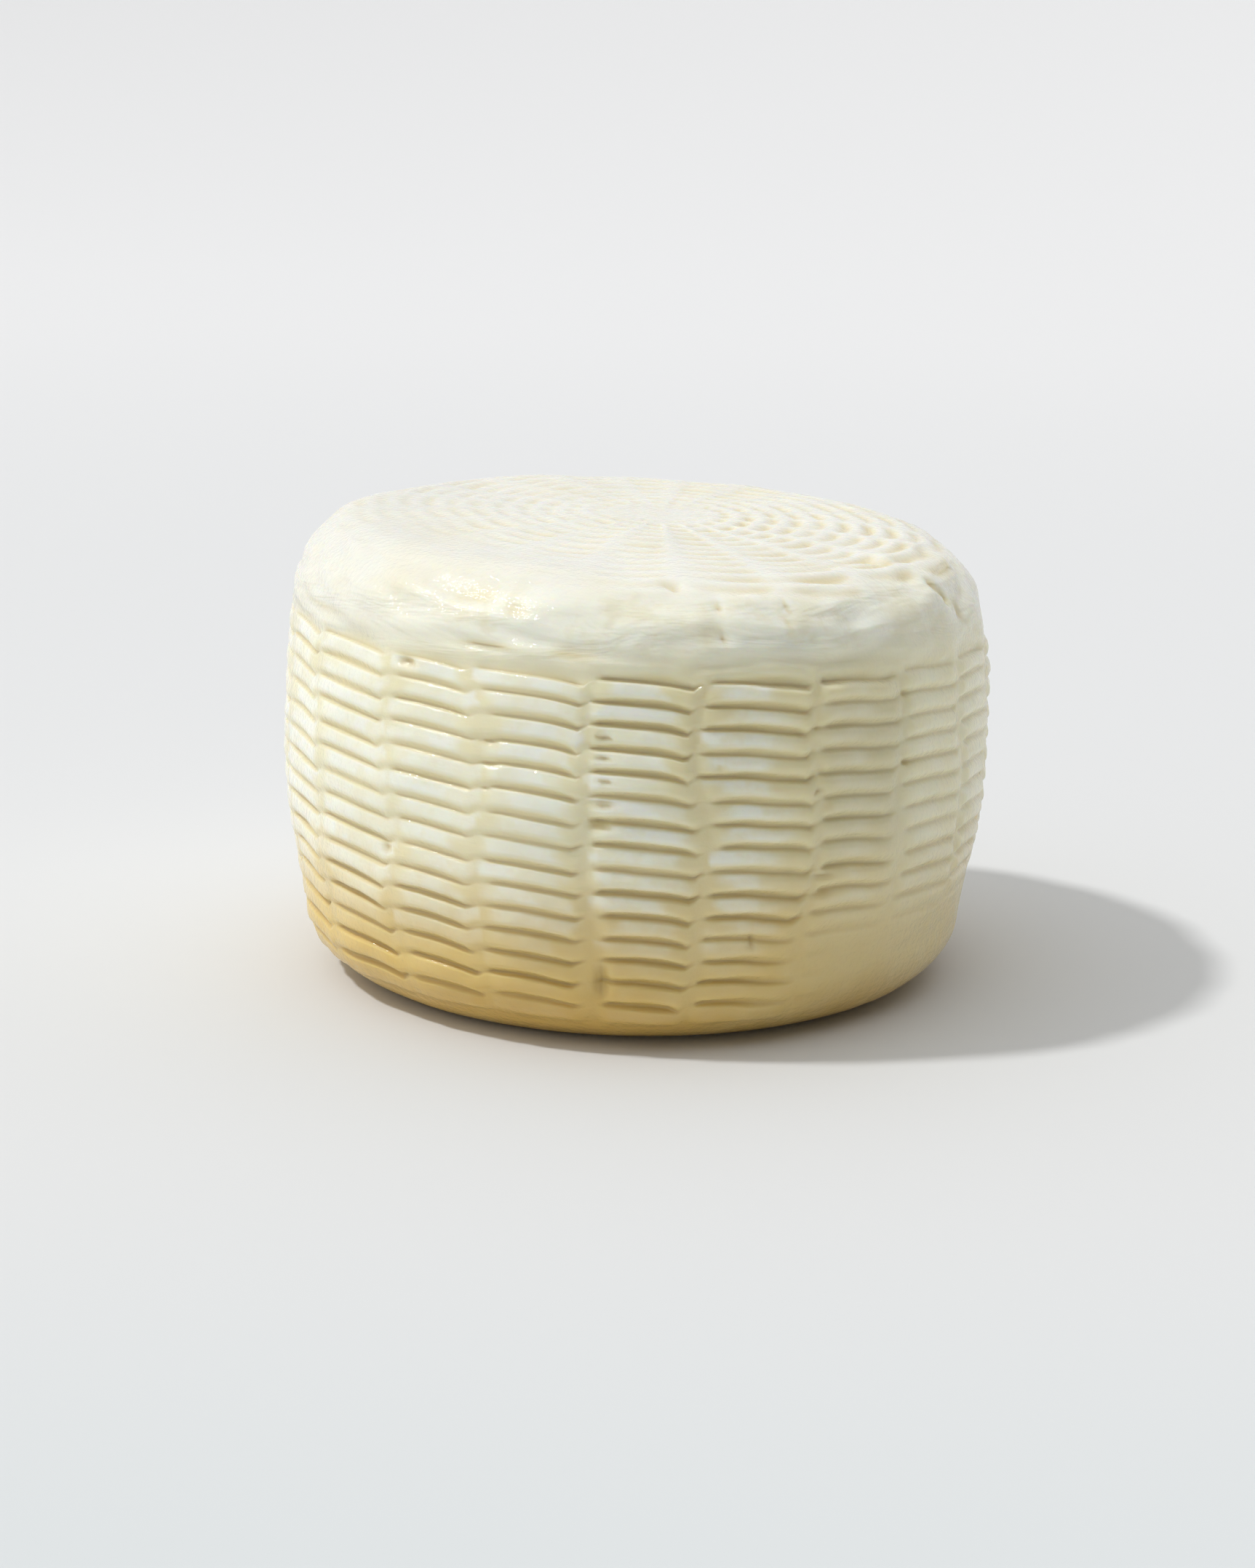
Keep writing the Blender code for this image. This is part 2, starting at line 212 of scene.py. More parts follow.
# Broad soft hollows under the rim, in the same terms
HOLLOWS = (
    (7.3, 72.6, 6.0, 1.8, 0.7), (16.5, 71.8, 5.5, 1.6, 0.7), (25, 71.2, 5.0, 2.0, 0.7),
    (36, 74.0, 3.2, 2.6, 0.7), (44, 74.2, 3.6, 2.2, 0.5), (34.5, 69.6, 4.0, 1.4, 0.5),
    (12.5, 77, 1.6, 3.4, 0.4), (-3, 73.5, 4.5, 1.6, 0.4), (70, 77, 5.0, 2.0, 0.6),
    (-16, 72.5, 5.0, 1.5, 0.35), (-38, 75, 5.0, 1.6, 0.4), (54, 79.5, 4.0, 2.0, 0.4),
    (1, 69.7, 5.5, 1.5, 0.5), (14, 69.4, 6.0, 1.6, 0.7), (27, 69.7, 6.0, 1.8, 0.7),
    (40, 70.4, 5.5, 1.8, 0.7), (53, 71.4, 5.0, 2.0, 0.6),
    (95, 75, 6.0, 2.5, 0.6), (128, 72, 5.0, 2.0, 0.6), (160, 76, 6.0, 2.0, 0.5),
    (-150, 73, 6.0, 2.2, 0.6), (-118, 76, 6.0, 2.0, 0.5), (-85, 73, 5.0, 2.0, 0.5),
)

# Dents in the top: across and away in mm, half length, half width, turn in degrees, depth in mm
TOP_PITS = (
    (5.6, -53.0, 2.0, 1.1, -50, 1.3), (40.8, -25.8, 2.6, 1.5, 40, 1.1),
    (46.5, -22.0, 2.8, 1.5, 50, 1.0), (51.0, -11.0, 2.6, 1.2, 75, 0.7),
    (32.0, -34.0, 7.0, 1.1, 40, 0.6), (20.0, -47.5, 6.0, 1.0, 15, 0.35),
    (31.0, -43.0, 6.5, 0.9, 25, 0.5), (47.0, -30.0, 2.5, 1.6, 55, 0.6),
)

# Grid
BAY_COLUMNS = 22
COLUMNS = BAY_COLUMNS * BAYS
ANGLES = np.arange(COLUMNS) * 2 * math.pi / COLUMNS
COURSE_ROWS = (0.0, 0.07, 0.13, 0.21, 0.37, 0.54, 0.68, 0.79, 0.90)
TOP_ROW_STEP = 0.62 * MM
RIM_ROW_STEP = 1.05 * MM
FOOT_ROW_STEP = 1.3 * MM
TOP_GRID_RADIUS = 55.5 * MM
SLIDE_FADE = 6 * MM

SEED = 21


def step(value, low, high):
    """A smooth step from 0 at low to 1 at high."""
    t = np.clip((value - low) / (high - low), 0.0, 1.0)
    return t * t * (3.0 - 2.0 * t)


def angle_between(theta, middle):
    """The angle from middle to theta, between -pi and pi."""
    return (theta - middle + math.pi) % (2 * math.pi) - math.pi


def outline():
    """Radius and height along the outline, from the top's centre to the edge of the flat base."""
    dome_radius = np.linspace(0.0, DOME_EDGE, CURVE_POINTS)
    dome_height = BODY_HEIGHT - DOME_DROP * (dome_radius / DOME_SPAN) ** DOME_POWER
    inner = SHOULDER_RADIUS - SHOULDER_WIDTH
    turn = np.linspace(math.asin((DOME_EDGE - inner) / SHOULDER_WIDTH), math.pi / 2, CURVE_POINTS)[1:]
    shoulder_radius = inner + SHOULDER_WIDTH * np.sin(turn)
    shoulder_height = SHOULDER_HEIGHT + SHOULDER_RISE * np.cos(turn)
    side_height = np.linspace(SHOULDER_HEIGHT, FOOT_ROUND, CURVE_POINTS)[1:]
    above = side_height > BELLY_HEIGHT
    end_radius = np.where(above, SHOULDER_RADIUS, FOOT_RADIUS)
    end_height = np.where(above, SHOULDER_HEIGHT, FOOT_ROUND)
    reach = (side_height - BELLY_HEIGHT) / (end_height - BELLY_HEIGHT)
    side_radius = BELLY_RADIUS - (BELLY_RADIUS - end_radius) * reach ** 2
    turn = np.linspace(0.0, math.pi / 2, CURVE_POINTS)[1:]
    foot_radius = FOOT_RADIUS - FOOT_ROUND * (1.0 - np.cos(turn))
    foot_height = FOOT_ROUND * (1.0 - np.sin(turn))
    radius = np.concatenate([dome_radius, shoulder_radius, side_radius, foot_radius])
    height = np.concatenate([dome_height, shoulder_height, side_height, foot_height])
    length = np.concatenate([[0.0], np.cumsum(np.hypot(np.diff(radius), np.diff(height)))])
    even = np.arange(0.0, length[-1], OUTLINE_STEP)
    kernel = np.ones(OUTLINE_SMOOTHING) / OUTLINE_SMOOTHING
    pad = OUTLINE_SMOOTHING // 2
    points = []
    for values in (radius, height):
        sampled = np.interp(even, length, values)
        smoothed = np.convolve(sampled, kernel, mode="valid")
        points.append(np.concatenate([sampled[:pad], smoothed, sampled[-pad:]]))
    return even, points[0], points[1]


LENGTH, RADIUS, HEIGHT = outline()
OUTWARD_RADIUS = -np.gradient(HEIGHT, LENGTH)
OUTWARD_HEIGHT = np.gradient(RADIUS, LENGTH)


def length_at_height(height):
    """Outline length at which the side stands at this height."""
    return np.interp(-height, -HEIGHT, LENGTH)


def length_at_radius(radius):
    """Outline length at which the top reaches this radius."""
    on_top = HEIGHT > SHOULDER_HEIGHT
    return np.interp(radius, RADIUS[on_top], LENGTH[on_top])


def course_height(course):
    """Height of a groove's middle. Course 0 is the top one."""
    sway = COURSE_SWAY * max(0.0, math.sin(math.pi * course / SWAY_COURSES))
    return TOP_COURSE_HEIGHT - COURSE_PITCH * course + sway


def waves(count, longest, shortest, seed):
    """A function of place that sums seeded waves, evenly mixed between two wavelengths."""
    draw = np.random.default_rng(seed)
    ways = draw.normal(size=(count, 3))
    ways /= np.linalg.norm(ways, axis=1)[:, None]
    sizes = longest * (shortest / longest) ** np.linspace(0.0, 1.0, count)
    ways *= (2 * math.pi / sizes)[:, None]
    shifts = draw.uniform(0.0, 2 * math.pi, count)

    def value(x, y, z):
        total = 0.0
        for way, shift in zip(ways, shifts):
            total = total + np.sin(way[0] * x + way[1] * y + way[2] * z + shift)
        return total / math.sqrt(count)

    return value


LUMPS = waves(*LUMP_WAVES, SEED + 1)
RIPPLES = waves(*RIPPLE_WAVES, SEED + 2)
WRINKLES = waves(*WRINKLE_WAVES, SEED + 3)
SEAM_WAVES = waves(*WANDER_WAVES, SEED + 4)
PAD_SHAKES = waves(*PAD_WAVES, SEED + 5)


def arch_drop(phase):
    """How far a groove has dropped below its crown, at a phase from 0 to 1 across the bay."""
    right = RIGHT_DROP * np.clip((phase - ARCH_CROWN) / (ARCH_END - ARCH_CROWN), 0.0, 1.0) ** ARCH_POWER
    left = LEFT_DROP * np.clip(1.0 - phase / ARCH_CROWN, 0.0, 1.0) ** 2
    back_up = step(phase, ARCH_END, 1.0)
    return left + right * (1.0 - back_up) + LEFT_DROP * back_up


def lens(phase, start=LENS_START, end=LENS_END):
    """Strength of a groove across its bay: full in the middle, tapered at both ends."""
    return step(phase, 0.0, start) * step(1.0 - phase, 0.0, end)


def wideness(theta):
    """How wide the grooves are: full round the front, narrower at both sides."""
    turn = angle_between(theta, 0.0)
    return step(turn, *WIDE_START) * (1.0 - step(turn, *WIDE_END))


def side_strength(theta, height):
    """Strength of the print: softer near the foot and at the right, and bare at the front right foot."""
    low = FOOT_PRINT + (1.0 - FOOT_PRINT) * step(height, *FOOT_PRINT_HEIGHTS)
    turn = theta % (2 * math.pi)
    bare = step(turn, *BARE_START) * (1.0 - step(turn, *BARE_END))
    soft = step(turn, *SOFT_START) * (1.0 - step(turn, *SOFT_END))
    return low * (1.0 - bare * (1.0 - step(height, *BARE_HEIGHTS))) * (1.0 - (1.0 - SOFT_PRINT) * soft)


def grid_rows():
    """Outline length, course and share of a course of each row, from the rim down."""
    rows = []
    top_course = length_at_height(course_height(0))
    rim_start = length_at_radius(TOP_GRID_RADIUS)
    count = int(round((top_course - rim_start) / RIM_ROW_STEP))
    for row in range(count):
        rows.append((rim_start + (top_course - rim_start) * row / count, -1, 0.0))
    for course in range(COURSES):
        here = length_at_height(course_height(course))
        below = length_at_height(course_height(course + 1))
        for share in COURSE_ROWS:
            rows.append((here + (below - here) * share, course, share))
    last = length_at_height(course_height(COURSES))
    count = int(round((LENGTH[-1] - last) / FOOT_ROW_STEP))
    for row in range(count + 1):
        rows.append((last + (LENGTH[-1] - last) * row / count, COURSES, 0.0))
    return np.array(rows)


def drawn_print():
    """Seeded strengths, shifts and lens ends for each course and bay."""
    draw = np.random.default_rng(SEED)
    shape = (COURSES + 2, BAYS)
    return {
        "strength": 1.0 + STRENGTH_SPREAD * draw.uniform(-1.0, 1.0, shape),
        "shift": SHIFT_SPREAD * draw.uniform(-1.0, 1.0, shape),
        "start": LENS_START * draw.uniform(0.6, 1.5, shape),
        "end": LENS_END * draw.uniform(0.6, 1.5, shape),
        "start_gap": LENS_GAP * draw.uniform(-0.3, 1.0, shape),
        "end_gap": LENS_GAP * draw.uniform(-0.3, 1.0, shape),
        "seam": draw.uniform(-0.15, 0.4, shape),
        "pad_start": draw.uniform(0.02, 0.20, shape),
        "pad_end": draw.uniform(0.60, 0.80, shape),
        "spill_start": draw.uniform(-0.2, 0.02, shape),
        "spill_end": draw.uniform(0.04, 0.42, shape),
        "pad": draw.uniform(0.75, 1.0, shape),
    }


class SidePrint:
    """The basket print at each point of the grid of the rim and side."""

    def __init__(self, theta, rows, draws):
        self.draws = draws
        self.along = rows[:, 0:1]
        self.course = rows[:, 1:2].astype(int)
        self.share = rows[:, 2:3]
        self.height = np.interp(self.along, LENGTH, HEIGHT)
        self.out_x = WANDER_RADIUS * np.sin(theta)
        self.out_y = -WANDER_RADIUS * np.cos(theta)
        wander = SEAM_WANDER * SEAM_WAVES(self.out_x, self.out_y, self.height)
        turn = (theta - FIRST_SEAM) / BAY_ANGLE + wander
        self.bay = np.floor(turn).astype(int) % BAYS
        self.phase = turn - np.floor(turn)
        self.upper = np.clip(self.course, 0, COURSES)
        self.lower = np.clip(self.course + 1, 0, COURSES)
        self.inside = (self.course >= 0) & (self.course < COURSES)

        from_front = angle_between(theta, 0.0)
        behind = step(from_front, *RIGHT_END)
        self.right = step(from_front, *RIGHT_START) * (1.0 - behind)
        self.left = np.maximum(1.0 - step(from_front, *WIDE_START), behind)
        self.wide = wideness(theta)
        strength = side_strength(theta, self.height)
        self.printed = np.clip(strength * PRINT_FULL, 0.0, 1.0)
        left_print = LEFT_PRINT + LEFT_FOOT_PRINT * (1.0 - step(self.height, *LEFT_FOOT_HEIGHTS))
        self.strength = strength * (left_print + (1.0 - left_print) * self.wide)
        self.girth = lens(self.phase, *SPINDLE)

        self.down = self.share * COURSE_PITCH
        self.up = (1.0 - self.share) * COURSE_PITCH
        over_first = np.clip(length_at_height(course_height(0)) - self.along, 0.0, None)
        self.to_groove = np.where(self.course < 0, over_first, self.up)
        self.above = self.groove(self.upper)
        self.below = self.groove(self.lower)

    def drawn(self, name):
        """The seeded draw of each place's band."""
        return self.draws[name][self.upper, self.bay]

    def groove(self, index):
        """Strength of a course's groove at each place."""
        start_gap = self.draws["start_gap"][index, self.bay]
        end_gap = self.draws["end_gap"][index, self.bay]
        shape = step(self.phase, start_gap, start_gap + self.draws["start"][index, self.bay])
        shape = shape * step(1.0 - self.phase, end_gap, end_gap + self.draws["end"][index, self.bay])
        boost = 1.0 + FIRST_BOOST * (index == 0) * self.right
        return shape * self.draws["strength"][index, self.bay] * boost * (index < COURSES)

    def slide(self):
        """How far down the outline the grooves' arches carry each place."""
        first = length_at_height(course_height(0))
        last = length_at_height(course_height(COURSES - 1))
        weight = step(self.along, first - SLIDE_FADE, first)
        weight = weight * (1.0 - step(self.along, last, last + SLIDE_FADE))
        shift = self.drawn("shift") * (1.0 - self.share)
        shift = shift + self.draws["shift"][self.lower, self.bay] * self.share
        slide = (arch_drop(self.phase) + shift * lens(self.phase)) * weight
        return slide * (WEAK_SLIDE + (1.0 - WEAK_SLIDE) * self.strength)

    def crests(self):
        """Height of the bands, which crown towards their middles."""
        crest = BAND_CREST * COURSE_PITCH
        past = (self.down - crest) / (COURSE_PITCH - crest)
        crown = np.where(self.down < crest, self.down / crest, 1.0 - past ** 2)
        crown = np.where(self.inside, crown, 0.0)
        start = CREST_START + (CREST_START_LEFT - CREST_START) * self.left
        end = CREST_END + (CREST_END_LEFT - CREST_END) * self.left
        across = lens(self.phase, start, end)
        across = across + (1.0 - across) * LEFT_SEAM * self.left
        bulge = BAND_BULGE * (1.0 + RIGHT_BULGE * self.right) * self.printed
        return bulge * crown * across + BAY_CROWN * (across - CREST_MEAN) * self.strength * self.inside

    def relief(self):
        """Height of each place over the outline, with grooves cut in and bands standing out."""
        spindle = self.girth * (THIN_GIRTH + (1.0 - THIN_GIRTH) * self.wide)
        floor_below = CHANNEL_BELOW[0] + (CHANNEL_BELOW[1] - CHANNEL_BELOW[0]) * spindle
        floor_above = CHANNEL_ABOVE[0] + (CHANNEL_ABOVE[1] - CHANNEL_ABOVE[0]) * spindle
        ledge_width = LEDGE * (1.0 + RIGHT_LEDGE * self.right)
        ledge = 1.0 - step(self.down, floor_below, floor_below + ledge_width)
        ledge = np.where(self.inside, ledge, 0.0)
        reach = ROLL * (1.0 + RIGHT_ROLL * self.right)
        roll = np.clip((floor_above + reach - self.to_groove) / reach, 0.0, 1.0)
        roll = roll ** 2 * (ROLL_FULLNESS - (ROLL_FULLNESS - 1.0) * roll)
        roll = np.where(self.course < COURSES, roll, 0.0)
        depth = GROOVE_DEPTH * self.strength * (1.0 + (RIGHT_DEPTH - 1.0) * self.right)
        return self.crests() - depth * (self.above * ledge + self.below * roll)

    def pads(self):
        """Whiteness of each place: partly the whiter pressed curd, partly painted light on the up-turned
        top of each band and the left of each bay, weaker on the shaded right.
        """
        shake = PAD_SHAKE * PAD_SHAKES(self.out_x, self.out_y, self.height)
        start = self.drawn("pad_start") + PAD_START_RIGHT * self.right + shake
        start = start + self.drawn("spill_start") * self.left
        end = self.drawn("pad_end") + PAD_END_RIGHT * self.right + shake
        end = end + self.drawn("spill_end") * self.left
        soft = PAD_EDGE + PAD_EDGE_RIGHT * self.right + PAD_EDGE_LEFT * self.left
        pad = step(self.phase, start - soft, start + soft)
        pad = pad * (1.0 - step(self.phase, end - soft, end + soft))
        # Painted light: the pads fade on the shaded right
        pad = pad * (1.0 + (PAD_RIGHT - 1.0) * self.right)
        pad = pad * step(self.down, *PAD_CLEAR_ABOVE) * step(self.up, *PAD_CLEAR_BELOW)
        faded = PAD_FOOT + (1.0 - PAD_FOOT) * step(self.height, *PAD_FADE_HEIGHTS)
        pad = pad * self.drawn("pad") * self.printed * faded
        return np.where(self.inside, pad, 0.0)

    def tint(self):
        """Share of the grooves' colour at each place: partly the yellower curd of grooves and seams,
        partly painted shade under each band's roll.
        """
        stain_below = TINT_BELOW[0] + TINT_BELOW[1] * self.girth
        stain_above = TINT_ABOVE[0] + TINT_ABOVE[1] * self.girth
        tint_below = 1.0 - step(self.down, stain_below, stain_below + TINT_EDGE)
        tint_above = 1.0 - step(self.to_groove, stain_above, stain_above + 2.0 * TINT_EDGE)
        tint_below = np.where(self.inside, tint_below * np.sqrt(self.above), 0.0)
        tint = np.maximum(tint_below, tint_above * np.sqrt(self.below)) * np.sqrt(self.strength)
        tint = tint * (1.0 + (RIGHT_TINT - 1.0) * self.right)
        seam = (1.0 - lens(self.phase, *SEAM_TINT_ENDS)) * np.clip(self.drawn("seam"), 0.0, 1.0)
        seam = seam * self.inside * (1.0 + (SEAM_TINT_LEFT - 1.0) * self.left)
        tint = np.maximum(tint, seam * np.sqrt(self.strength))
        return np.where(self.course < COURSES, tint, 0.0)


def dents(theta, height, places, sharpness):
    """Depth of the side's dents from a list of places."""
    total = np.zeros(np.broadcast(theta, height).shape)
    for angle, middle, half_width, half_height, depth in places:
        across = angle_between(theta, math.radians(angle)) * BELLY_RADIUS / (half_width * MM)
        up = (height - middle * MM) / (half_height * MM)
        total += depth * MM * np.exp(-(across ** 2 + up ** 2) ** sharpness)
    return total


def top_pits_relief(x, y):
    """Depth of the dents in the top."""
    total = np.zeros(x.shape)
    for across, away, half_length, half_width, turn, depth in TOP_PITS:
        cos = math.cos(math.radians(turn))
        sin = math.sin(math.radians(turn))
        dx = x - across * MM
        dy = y - away * MM
        u = (dx * cos + dy * sin) / (half_length * MM)
        v = (dy * cos - dx * sin) / (half_width * MM)
        total += depth * MM * np.exp(-(u ** 2 + v ** 2) ** PIT_SHARPNESS)
    return total


def top_print(x, y, draws):
    """Depth of the rings of dimples, from 0 to 1, at places on the top."""
    dx = x - RING_CENTRE[0]
    dy = y - RING_CENTRE[1]
    reach = np.hypot(dx, dy)
    turn = (np.arctan2(dx, -dy) - RING_SEAM) / BAY_ANGLE
    bay = np.floor(turn).astype(int) % BAYS
    phase = turn - np.floor(turn)
    bow = RING_BOW * 4.0 * phase * (1.0 - phase) * step(reach, *RING_BOW_REACH)
    number = (reach - bow - RING_START) / RING_PITCH
    ring = np.clip(np.round(number), 1, RINGS).astype(int)
    off = (number - ring) * RING_PITCH
    strength = draws["strength"][ring % COURSES, bay]
    shape = lens(phase, *RING_ENDS) * (RING_THIN_END + (1.0 - RING_THIN_END) * phase)
    radius = np.hypot(x, y)
    theta = np.arctan2(x, -y)
    strong = np.exp(-(angle_between(theta, STRONG_TOP_ANGLE) / STRONG_TOP_SPREAD) ** 2)
    bare = np.exp(-(angle_between(theta, BARE_TOP_ANGLE) / BARE_TOP_SPREAD) ** 2)
    local = (RING_FAINT + (1.0 - RING_FAINT) * strong) * (1.0 - bare * step(radius, *BARE_TOP_RADII))
    beyond = RING_REACH_RIGHT * strong
    local = local * (1.0 - step(radius - beyond, *RING_REACH)) * step(reach, *RING_START_REACH)
    return np.exp(-(off / RING_WIDTH) ** 2) * shape * strength * local


def surface(theta, along, depth):
    """Places for outline lengths and angles, pushed out by a depth."""
    r = np.interp(along, LENGTH, RADIUS) + depth * np.interp(along, LENGTH, OUTWARD_RADIUS)
    z = np.interp(along, LENGTH, HEIGHT) + depth * np.interp(along, LENGTH, OUTWARD_HEIGHT)
    return r * np.sin(theta), -r * np.cos(theta), z


def leaned(x, y, z):
    """The same places, with the lean of the cheese."""
    lean = LEAN_SLOPE * np.clip(z / LEAN_FULL_HEIGHT, 0.0, 1.0) ** LEAN_POWER
    slope = TOP_SLOPE * step(z, *TOP_SLOPE_HEIGHTS)
    return np.stack([x, y, z - lean * x + slope * y], axis=-1)


def side_grid(draws):
    """Places, whiteness and groove tint of the grid of the rim and side. The whiteness is partly painted
    light, the tint partly painted shade.
    """
    theta = ANGLES[None, :]
    rows = grid_rows()
    basket = SidePrint(theta, rows, draws)
    along = np.clip(rows[:, 0:1] + basket.slide(), 0.0, LENGTH[-1])
    x, y, z = surface(theta, along, 0.0)
    pits = PIT_DEPTH * dents(theta, z, PITS, PIT_SHARPNESS)
    hollows = dents(theta, z, HOLLOWS, HOLLOW_SHARPNESS)
    top_dents = top_pits_relief(x, y) * (z > SHOULDER_HEIGHT)
    rings = top_print(x, y, draws) * (z > SHOULDER_HEIGHT + RING_MARGIN)
    on_rim = step(z, *WRINKLE_START) * (1.0 - step(z, *WRINKLE_END))
    uneven = LUMP * LUMPS(x, y, z) + SIDE_RIPPLE * RIPPLES(x, y, z) - hollows
    uneven = uneven + WRINKLE * on_rim * WRINKLES(WRINKLE_STRETCH * x, WRINKLE_STRETCH * y, z)
    depth = basket.relief() + uneven - pits - top_dents - RING_DEPTH * rings
    points = leaned(*surface(theta, along, depth * step(z, 0.0, FIRM_HEIGHT)))
    points[-1, :, 2] = 0.0
    # Tint of grooves, pits and dimples: partly yellower curd, partly painted shade
    tint = basket.tint() + pits / PIT_TINT + RING_TINT * rings ** RING_TINT_POWER
    tint = tint + top_dents / TOP_PIT_TINT
    return points, basket.pads(), np.clip(tint, 0.0, 1.0)


def top_grid(draws):
    """Places and groove tint of the top's grid, which has half of the side's columns."""
    theta = ANGLES[None, ::2]
    edge = length_at_radius(TOP_GRID_RADIUS)
    count = int(round(edge / TOP_ROW_STEP))
    along = (edge * np.arange(1, count) / count)[:, None]
    x, y, z = surface(theta, along, 0.0)
    rings = top_print(x, y, draws)
    top_dents = top_pits_relief(x, y)
    uneven = LUMP * LUMPS(x, y, z) + TOP_RIPPLE * RIPPLES(x, y, z)
    depth = uneven - RING_DEPTH * rings - top_dents
    points = leaned(*surface(theta, np.broadcast_to(along, depth.shape), depth))
    # Tint of dimples and dents: partly yellower curd, partly painted shade
    tint = RING_TINT * rings ** RING_TINT_POWER + top_dents / TOP_PIT_TINT
    return points, np.clip(tint, 0.0, 1.0)


def cheese_mesh():
    """The cheese's fine mesh, with its whiteness, partly painted light, and its groove tint, partly
    painted shade, as attributes.
    """
    draws = drawn_print()
    side, side_pad, side_tint = side_grid(draws)
    top, top_tint = top_grid(draws)
    middle = np.array([[0.0, 0.0, BODY_HEIGHT + LUMP * float(LUMPS(0.0, 0.0, BODY_HEIGHT))]])
    centre = np.array([[0.0, 0.0, 0.0]])
    points = np.concatenate([middle, top.reshape(-1, 3), side.reshape(-1, 3), centre])
    pad = np.concatenate([[0.0], np.zeros(top_tint.size), side_pad.ravel(), [0.0]])
    tint = np.concatenate([[0.0], top_tint.ravel(), side_tint.ravel(), [0.0]])
    faces = grid_faces(*top.shape[:2], *side.shape[:2])
    mesh = bpy.data.meshes.new("caciotta")
    mesh.from_pydata(points.tolist(), [], faces)
    for name, values in (("pad", pad), ("groove", tint)):
        layer = mesh.attributes.new(name, "FLOAT", "POINT")
        layer.data.foreach_set("value", values.astype(np.float32))
    mesh.shade_smooth()
    return mesh


def grid_faces(top_rows, top_columns, side_rows, side_columns):
    """Faces of the top's and the side's grids, and the fans that join and close them."""
    faces = []

    def top(row, column):
        return 1 + row * top_columns + column % top_columns

    first = 1 + top_rows * top_columns

    def side(row, column):
        return first + row * side_columns + column % side_columns

    for c in range(top_columns):
        faces.append((0, top(0, c), top(0, c + 1)))
    for r in range(top_rows - 1):
        for c in range(top_columns):
            faces.append((top(r, c), top(r + 1, c), top(r + 1, c + 1), top(r, c + 1)))
    last = top_rows - 1
    for c in range(top_columns):
        faces.append((top(last, c), side(0, 2 * c), side(0, 2 * c + 1)))
        faces.append((top(last, c), side(0, 2 * c + 1), top(last, c + 1)))
        faces.append((top(last, c + 1), side(0, 2 * c + 1), side(0, 2 * c + 2)))
    for r in range(side_rows - 1):
        for c in range(side_columns):
            faces.append((side(r, c), side(r + 1, c), side(r + 1, c + 1), side(r, c + 1)))
    base = first + side_rows * side_columns
    for c in range(side_columns):
        faces.append((base, side(side_rows - 1, c + 1), side(side_rows - 1, c)))
    return faces


def centre_in(mesh, low, high):
    """Slide the mesh so that the middle of its box is the middle of the solid's box."""
    points = np.array([vertex.co for vertex in mesh.vertices])
    middle = (points.min(axis=0) + points.max(axis=0)) / 2
    shift = ((low.x + high.x) / 2 - middle[0], (low.y + high.y) / 2 - middle[1], 0.0)
    mesh.transform(Matrix.Translation(shift))


class Nodes:
    """Short calls that add and link nodes of one material."""

    def __init__(self, name):
        self.material = bpy.data.materials.new(name)
        self.material.use_nodes = True
        self.tree = self.material.node_tree
        self.shader = self.tree.nodes["Principled BSDF"]

    def add(self, kind, **settings):
        node = self.tree.nodes.new(kind)
        for name, value in settings.items():
            setattr(node, name, value)
        return node

    def put(self, value, socket):
        """Link a socket, or set a number or colour, on an input."""
        if isinstance(value, bpy.types.NodeSocket):
            self.tree.links.new(value, socket)
        else:
            socket.default_value = value

    def attribute(self, name):
        return self.add("ShaderNodeAttribute", attribute_name=name).outputs["Fac"]

    def noise(self, vector, scale, detail, roughness, distortion=0.0):
        node = self.add("ShaderNodeTexNoise")
        node.inputs["Scale"].default_value = scale
        node.inputs["Detail"].default_value = detail
        node.inputs["Roughness"].default_value = roughness
        node.inputs["Distortion"].default_value = distortion
        self.put(vector, node.inputs["Vector"])
        return node.outputs["Fac"]

    def ramp(self, value, low, high, low_out=0.0, high_out=1.0):
        node = self.add("ShaderNodeMapRange", interpolation_type="SMOOTHSTEP")
        self.put(value, node.inputs["Value"])
        node.inputs["From Min"].default_value = low
        node.inputs["From Max"].default_value = high
        node.inputs["To Min"].default_value = low_out
        node.inputs["To Max"].default_value = high_out
        return node.outputs["Result"]

    def math(self, operation, a, b=0.0):
        node = self.add("ShaderNodeMath", operation=operation)
        self.put(a, node.inputs[0])
        self.put(b, node.inputs[1])
        return node.outputs["Value"]

    def product(self, *values):
        """The product of a socket with more sockets or numbers."""
        total = values[0]
        for value in values[1:]:
            total = self.math("MULTIPLY", total, value)
        return total

    def mix(self, share, a, b):
        node = self.add("ShaderNodeMix", data_type="RGBA")
        self.put(share, node.inputs["Factor"])
        self.put(a, node.inputs[6])
        self.put(b, node.inputs[7])
        return node.outputs[2]

    def bump(self, height, strength, distance, normal=None):
        node = self.add("ShaderNodeBump")
        node.inputs["Strength"].default_value = strength
        node.inputs["Distance"].default_value = distance
        self.put(height, node.inputs["Height"])
        if normal is not None:
            self.put(normal, node.inputs["Normal"])
        return node.outputs["Normal"]


# White of the pads: partly whiter curd, partly painted light
WHITE_AND_PAINTED_LIGHT = (0.95, 0.945, 0.835, 1.0)
CREAM = (0.87, 0.81, 0.555, 1.0)
BUTTER = (0.80, 0.70, 0.40, 1.0)
# Painted shade: a darker strip at the front right, on the side turned from the key
PAINTED_SHADE_STRIP = (0.66, 0.60, 0.38, 1.0)
# Painted shade: tones down the left rim where the key lights it most
LEFT_RIM_SHADE = (0.80, 0.79, 0.70, 1.0)
STAIN = (0.80, 0.74, 0.50, 1.0)
